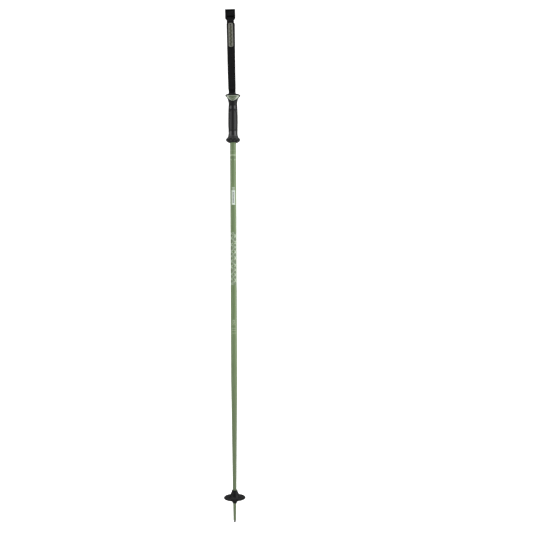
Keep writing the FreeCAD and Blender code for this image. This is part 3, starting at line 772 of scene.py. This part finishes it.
def label_relief(x, z):
    """(lift, raised share) on the label: a rounded rim, a channel and plain scalloped ribs in it."""
    side = abs(x) - (LABEL_HALF - LABEL_CORNER)
    end = max(LABEL_LOW + LABEL_CORNER - z, z - (LABEL_HIGH - LABEL_CORNER))
    edge = LABEL_CORNER - math.hypot(max(0.0, side), max(0.0, end)) - min(0.0, max(side, end))
    rim = 1 - ease(edge, 1.6, 2.3)
    swing = 1.15 * math.sin(2 * math.pi * (z - LABEL_LOW) / 11.0)
    bank = ease(abs(x - swing * plateau(z, 1388.0, 1435.0, 4.0)), 2.2, 3.1)
    share = max(rim, bank)
    boss = 1 - ease(math.hypot(x, z - RIVET_Z), 3.6, 4.4)
    share = max(share, boss)
    pip = (1 - ease(math.hypot(x - swing, math.remainder(z - LABEL_LOW - 2.7, 5.5)), 0.9, 1.5)) * (1 - share)
    lift = 0.55 * share + 0.30 * pip * plateau(z, 1388.0, 1435.0, 1.0)
    rounding = math.sqrt(max(0.0, 1 - (1 - min(edge / 0.7, 1.0)) ** 2))
    return 0.45 * rounding + lift * rounding, share


def build_label():
    columns = 61
    rows = 241
    vertices, raised = [], []
    for layer in (1, 0):
        for i in range(rows):
            z = LABEL_LOW + (LABEL_HIGH - LABEL_LOW) * (1 - math.cos(math.pi * i / (rows - 1))) / 2
            end = max(0.0, LABEL_LOW + LABEL_CORNER - z, z - (LABEL_HIGH - LABEL_CORNER))
            half = LABEL_HALF - LABEL_CORNER + math.sqrt(max(0.0, LABEL_CORNER ** 2 - end ** 2))
            for j in range(columns):
                x = half * math.sin(math.pi / 2 * (2 * j / (columns - 1) - 1))
                lift, share = label_relief(x, z)
                vertices.append(on_front(LABEL_X + x, z, LABEL_BACK + (lift if layer else 0.0)))
                raised.append(share)
    size = rows * columns
    front = [tuple(reversed(face)) for face in grid_faces(rows, columns)]
    back = [tuple(v + size for v in face) for face in grid_faces(rows, columns)]
    rim = list(range(columns))
    rim += [i * columns + columns - 1 for i in range(1, rows)]
    rim += [size - 1 - j for j in range(1, columns)]
    rim += [i * columns for i in range(rows - 2, 0, -1)]
    walls = [(b, b + size, a + size, a) for a, b in zip(rim, rim[1:] + rim[:1])]
    faces = [tuple(reversed(face)) for face in front + back + walls]
    return make_object("label_moulding", vertices, faces, LABEL, "adjuster", ("label_patch",),
                       {"raised": raised})


# --- Buckle ---------------------------------------------------------------------------------------------------


def rounded_plate(name, outlines, centre_y, thickness, edge):
    """A flat plate with rounded edges from closed outlines of (x, z); later outlines are holes."""
    curve = bpy.data.curves.new(name, "CURVE")
    curve.dimensions = "2D"
    curve.fill_mode = "BOTH"
    curve.extrude = thickness * MM / 2 - edge * MM
    curve.bevel_depth = edge * MM
    curve.bevel_resolution = 4
    curve.offset = -edge * MM
    for outline in outlines:
        spline = curve.splines.new("POLY")
        spline.points.add(len(outline) - 1)
        spline.use_cyclic_u = True
        for point, (x, z) in zip(spline.points, outline):
            point.co = (x * MM, z * MM, 0.0, 1.0)
    shape = bpy.data.objects.new(name, curve)
    bpy.context.scene.collection.objects.link(shape)
    mesh = bpy.data.meshes.new_from_object(shape.evaluated_get(bpy.context.evaluated_depsgraph_get()))
    bpy.data.objects.remove(shape)
    points = [(v.co.x / MM, -v.co.z / MM + centre_y, v.co.y / MM) for v in mesh.vertices]
    faces = [tuple(p.vertices) for p in mesh.polygons]
    bpy.data.meshes.remove(mesh)
    return points, faces


def rounded_corners(corners, steps=5):
    """An outline from (x, z, radius) corners, each rounded by its own arc."""
    points = []
    for k, (x, z, radius) in enumerate(corners):
        here = Vector((x, z))
        before = (Vector(corners[k - 1][:2]) - here).normalized()
        after = (Vector(corners[(k + 1) % len(corners)][:2]) - here).normalized()
        if radius == 0:
            points.append((x, z))
            continue
        half = before.angle(after) / 2
        reach = radius / math.tan(half)
        start, end = here + before * reach, here + after * reach
        for i in range(steps + 1):
            t = i / steps
            point = start * (1 - t) ** 2 + here * 2 * t * (1 - t) + end * t ** 2
            points.append((point.x, point.y))
    return points


def bar(centre_y, centre_z, half_length, radius, ribs):
    """A round bar along X with shallow grip rings."""
    columns, rows = 32, 121
    vertices = []
    for i in range(rows):
        x = -half_length + 2 * half_length * i / (rows - 1)
        here = radius + (0.10 * math.cos(2 * math.pi * x / 1.4) - 0.10 if ribs else 0.0)
        for k in range(columns):
            angle = 2 * math.pi * k / columns
            vertices.append((x, centre_y + here * math.cos(angle), centre_z + here * math.sin(angle)))
    faces = grid_faces(rows, columns, close_columns=True)
    faces.append(tuple(range(columns - 1, -1, -1)))
    faces.append(tuple(range((rows - 1) * columns, rows * columns)))
    return vertices, faces


def build_frame():
    """Moulded slide frame: rounded rails, chamfered foot and round bars."""
    half, foot, top = 14.7, 11.7, ADJUSTER_Z + 31.0
    outer = rounded_corners([
        (-foot, ADJUSTER_Z, 0.8), (foot, ADJUSTER_Z, 0.8), (half, ADJUSTER_Z + 4.6, 1.6), (half, top, 1.4),
        (-half, top, 1.4), (-half, ADJUSTER_Z + 4.6, 1.6),
    ])
    window = rounded_corners([
        (-9.75, ADJUSTER_Z + 1.6, 0.5), (-9.75, 1486.1, 0.6), (9.75, 1486.1, 0.6), (9.75, ADJUSTER_Z + 1.6, 0.5),
    ])
    points, faces = rounded_plate("frame_plate", [outer, window], FRAME_Y, 4.4, 0.7)
    vertices, all_faces = list(points), list(faces)
    for z, ribs in ((LOW_BAR_Z, False), (MID_BAR_Z, True)):
        more, more_faces = bar(FRAME_Y, z, 11.4, BAR_R, ribs)
        base = len(vertices)
        vertices += more
        all_faces += [tuple(v + base for v in face) for face in more_faces]
    vertices = [lean(*point) for point in vertices]
    piece = make_object("buckle_frame", vertices, all_faces, BUCKLE, "adjuster",
                        ("adjuster_frame",), smooth=False)
    piece.data.shade_smooth()
    piece.data.set_sharp_from_angle(angle=math.radians(50))
    return piece


def build_fold_and_tail():
    """The webbing at the buckle: the sewn fold on the lower bar, and the woven path to the free tail."""
    neck_y, _ = ply_at(1457.0)
    bend = FRAME_Y - neck_y
    start_z = PLY_END_Z + 0.1
    swing = 2 * HEM_BEND_R * (1 - math.cos(math.radians(HEM_DEG)))
    slant = (2 * bend - 2 * WEB_HALF - LAYER_GAP - swing) / math.sin(math.radians(HEM_DEG))
    fold = [("run", LOW_BAR_Z - start_z), ("turn", bend, 180.0), ("turn", HEM_BEND_R, HEM_DEG), ("run", slant),
            ("turn", HEM_BEND_R, -HEM_DEG), ("run", HEM_RUN)]
    strip("fold_webbing", trace((neck_y, start_z), fold, 0.4), WEB_WIDTH, (-WEB_HALF, WEB_HALF), WEBBING,
          "adjuster", ("adjuster_fold",))
    crown = -neck_y
    crown_z = SLOT_TOP_Z - crown - WEB_HALF - LAYER_GAP
    tail_y = -neck_y - 2 * WEB_HALF - LAYER_GAP
    tail = [("run", crown_z - start_z), ("turn", crown, -180.0), ("run", crown_z - MID_BAR_Z), ("turn", bend, -90.0),
            ("run", tail_y - FRAME_Y - TAIL_BEND_R), ("turn", TAIL_BEND_R, 90.0),
            ("run", MID_BAR_Z - bend - TAIL_BEND_R - TAIL_END_Z)]
    strip("tail_webbing", trace((-neck_y, start_z), tail, 0.4), WEB_WIDTH, (-WEB_HALF, WEB_HALF), WEBBING,
          "adjuster", ("strap_tail",))


# --- Basket ---------------------------------------------------------------------------------------------------


BASKET_Z = 56.0
BASKET_PROFILE = (
    (4.95, 0.4), (5.2, 0.0), (6.0, 0.0), (6.7, 0.9), (7.6, 3.6), (8.2, 5.8), (8.7, 8.4), (9.3, 10.6), (10.8, 12.0),
    (14.0, 13.2), (18.0, 14.0), (22.0, 14.3), (26.0, 14.4), (29.6, 14.35), (30.7, 14.45), (31.3, 14.9),
    (31.6, 15.7), (31.3, 16.5), (30.8, 16.9), (30.2, 16.85), (29.6, 16.4), (28.9, 16.25), (26.0, 16.35),
    (22.0, 16.75), (18.0, 17.4), (15.4, 18.6), (13.4, 20.4), (12.2, 22.8), (11.4, 25.4), (10.6, 28.2),
    (9.6, 30.9), (9.0, 33.2), (8.6, 35.2), (8.1, 36.9), (7.3, 37.7), (6.2, 37.6), (5.5, 37.0), (5.47, 36.4),
)


def build_basket():
    """Round basket: hub, dish with a beaded rim, eight ribs, and grip notches round the hub's mouth."""
    points = []
    for start, end in zip(BASKET_PROFILE, BASKET_PROFILE[1:]):
        count = max(2, round(math.dist(start, end) / 0.45))
        for i in range(count):
            t = i / count
            points.append(tuple(a + (b - a) * t for a, b in zip(start, end)))
    points.append(BASKET_PROFILE[-1])
    columns = 360
    vertices = []
    for k, (radius, height) in enumerate(points):
        before, after = points[max(0, k - 1)], points[min(len(points) - 1, k + 1)]
        run = Vector((after[0] - before[0], after[1] - before[1])).normalized()
        normal = Vector((run.y, -run.x))
        top = height > 16.0 and radius > 8.9
        for j in range(columns):
            angle = 2 * math.pi * j / columns
            rib_turn = math.remainder(angle - math.pi / 8, math.pi / 4)
            lift = 0.0
            if top:
                rib = 1 - ease(abs(rib_turn) * radius, 0.5, 1.15)
                lift += 1.15 * rib * plateau(radius, 10.4, 28.4, 1.4)
                fine = math.remainder(angle, math.pi / 8)
                lift += 0.35 * (1 - ease(abs(fine) * radius, 0.3, 0.8)) * plateau(radius, 20.5, 28.2, 0.8)
                lift += 0.45 * (1 - ease(abs(radius - 19.4), 0.4, 0.9))
            if height < 16.0 and radius > 11.0:
                rib = 1 - ease(abs(rib_turn) * radius, 0.5, 1.1)
                lift += 0.55 * rib * plateau(radius, 12.0, 28.6, 1.2)
            notch = math.remainder(angle - math.pi / 2, math.pi / 2)
            if height > 29.0 and radius > 6.0:
                lift -= 0.9 * (1 - ease(abs(notch) * radius, 0.7, 1.3)) * ease(height, 29.5, 32.0)
            if height < 7.0 and radius > 5.5:
                lift -= 0.4 * (1 - ease(abs(notch) * radius, 0.5, 1.0))
            r = radius + normal.x * lift
            z = height + normal.y * lift
            vertices.append((r * math.sin(angle), -r * math.cos(angle), BASKET_Z + z))
    faces = grid_faces(len(points), columns, close_rows=True, close_columns=True)
    return make_object("basket_moulding", vertices, faces, BASKET, "basket", ("basket",))


# --- Build ----------------------------------------------------------------------------------------------------


RUBBER = grip_rubber()
INSERT = green_insert()
LABEL = label_rubber()
WEBBING = fabric("webbing", (0.0055, 0.0055, 0.0062), (0.014, 0.014, 0.0155))
PAD = fabric("pad_fabric", (0.0065, 0.0065, 0.0070), (0.016, 0.016, 0.017), (1200.0, 1200.0, 1200.0))
THREAD = fabric("thread", (0.016, 0.016, 0.017), (0.040, 0.040, 0.042), (2400.0, 2400.0, 2400.0))
BUCKLE = moulded_black("buckle_plastic", (0.0030, 0.0030, 0.0032), 0.34, 0.00002, 0.14)
BASKET = moulded_black("basket_plastic", (0.0062, 0.0064, 0.0078), 0.46, gloss=0.25)
CAP = moulded_black("cap_plastic", (0.0080, 0.0085, 0.0085), 0.50, gloss=0.15)
CORE = moulded_black("core_plastic", (0.020, 0.020, 0.021), 0.55)
STEEL = metal("steel", (0.42, 0.42, 0.41), 0.30)
RIVET = metal("rivet_metal", (0.045, 0.045, 0.048), 0.38)
CAD_MATERIALS = {
    "shaft": paint_green(),
    "tip_point": STEEL,
    "grip_core": CORE,
    "grip_cap": CAP,
    "cap_screw": STEEL,
    "strap_pin": STEEL,
    "label_rivet": RIVET,
}

PLY_LINE = ply_path(1240.0, 1500.0, 0.25)

for node, material in CAD_MATERIALS.items():
    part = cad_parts[node]
    part.data.materials.clear()
    part.data.materials.append(material)

build_grip_sleeve()
build_cap_insert(-1)
build_cap_insert(1)
build_root()
build_plies()
build_pad()
build_pad_stitches()
build_cross_band()
tack("root_tack", "strap", 0.0, 1263.8, 15.0, 2.2, WEB_HALF + 1.35, "root_bartack", 2, 3.4)
tack("neck_tack", "adjuster", 0.0, 1459.0, 15.0, 2.0, WEB_HALF + 0.1, "neck_bartack")
build_label()
build_frame()
build_fold_and_tail()
build_basket()


# --- Stage ----------------------------------------------------------------------------------------------------


FLOOR_DROP = 0.10


def build_stage():
    """A white floor that curves up into a wall, low enough for the basket to come off the tip above it."""
    profile = [(-2.6, 0.0), (2.2, 0.0)]
    turns = [math.pi / 2 * k / 16 for k in range(1, 17)]
    profile += [(2.2 + 1.2 * math.sin(a), 1.2 - 1.2 * math.cos(a)) for a in turns]
    profile.append((3.4, 4.6))
    vertices = []
    for y, z in profile:
        vertices.append((-4.0, y, z - FLOOR_DROP))
        vertices.append((4.0, y, z - FLOOR_DROP))
    faces = [(2 * k, 2 * k + 1, 2 * k + 3, 2 * k + 2) for k in range(len(profile) - 1)]
    mesh = bpy.data.meshes.new("studio_floor")
    mesh.from_pydata(vertices, [], faces)
    mesh.shade_smooth()
    floor = bpy.data.objects.new("studio_floor", mesh)
    bpy.context.scene.collection.objects.link(floor)
    s = Surface("studio_white", Roughness=0.9, Specular_IOR_Level=0.1, Emission_Strength=0.62)
    s.set(Base_Color=(0.90, 0.90, 0.90), Emission_Color=(1.0, 1.0, 1.0))
    mesh.materials.append(s.material)
    floor.visible_glossy = False


def build_backdrop():
    """A plain white drum round the whole studio, seen directly but throwing no light or shadow on the pole."""
    radius, low, high, sides = 7.0, -FLOOR_DROP - 0.02, 9.0, 64
    turns = [2 * math.pi * k / sides for k in range(sides)]
    vertices = [(radius * math.cos(a), radius * math.sin(a), z) for z in (low, high) for a in turns]
    faces = [(k, (k + 1) % sides, (k + 1) % sides + sides, k + sides) for k in range(sides)]
    faces.append(tuple(range(sides)))
    faces.append(tuple(range(2 * sides - 1, sides - 1, -1)))
    mesh = bpy.data.meshes.new("studio_backdrop")
    mesh.from_pydata(vertices, [], faces)
    drum = bpy.data.objects.new("studio_backdrop", mesh)
    bpy.context.scene.collection.objects.link(drum)
    s = Surface("backdrop_white", Roughness=1.0, Specular_IOR_Level=0.0, Emission_Strength=1.0)
    s.set(Base_Color=(0.0, 0.0, 0.0), Emission_Color=(1.0, 1.0, 1.0))
    mesh.materials.append(s.material)
    drum.visible_diffuse = False
    drum.visible_glossy = False
    drum.visible_transmission = False
    drum.visible_shadow = False


def area_light(name, place, target, size, power):
    light = bpy.data.lights.new(name, "AREA")
    light.shape = "RECTANGLE"
    light.size, light.size_y = size
    light.energy = power
    lamp = bpy.data.objects.new(name, light)
    lamp.location = place
    lamp.rotation_euler = (Vector(target) - Vector(place)).to_track_quat("-Z", "Y").to_euler()
    bpy.context.scene.collection.objects.link(lamp)


def build_lights():
    area_light("left_softbox", (-1.9, -0.9, 1.3), (0, 0, 0.8), (0.7, 2.4), 13)
    area_light("right_softbox", (1.9, -0.5, 1.3), (0, 0, 0.8), (0.7, 2.4), 29)
    area_light("top_softbox", (0.0, 0.5, 3.2), (0, 0.8, 0.0), (3.0, 2.0), 40)
    world = bpy.data.worlds.new("studio")
    world.use_nodes = True
    background = world.node_tree.nodes["Background"]
    background.inputs["Color"].default_value = (1.0, 1.0, 1.0, 1.0)
    background.inputs["Strength"].default_value = 0.26
    bpy.context.scene.world = world


def build_camera():
    camera = bpy.data.cameras.new("camera")
    camera.sensor_width = 36.0
    camera.lens = 44.88
    holder = bpy.data.objects.new("camera", camera)
    holder.location = (0.0985, -1.941, 0.7406)
    holder.rotation_euler = (math.radians(90.0), math.radians(0.262), 0.0)
    bpy.context.scene.collection.objects.link(holder)
    bpy.context.scene.camera = holder


build_stage()
build_backdrop()
build_lights()
build_camera()
bpy.context.scene.view_settings.view_transform = "Standard"
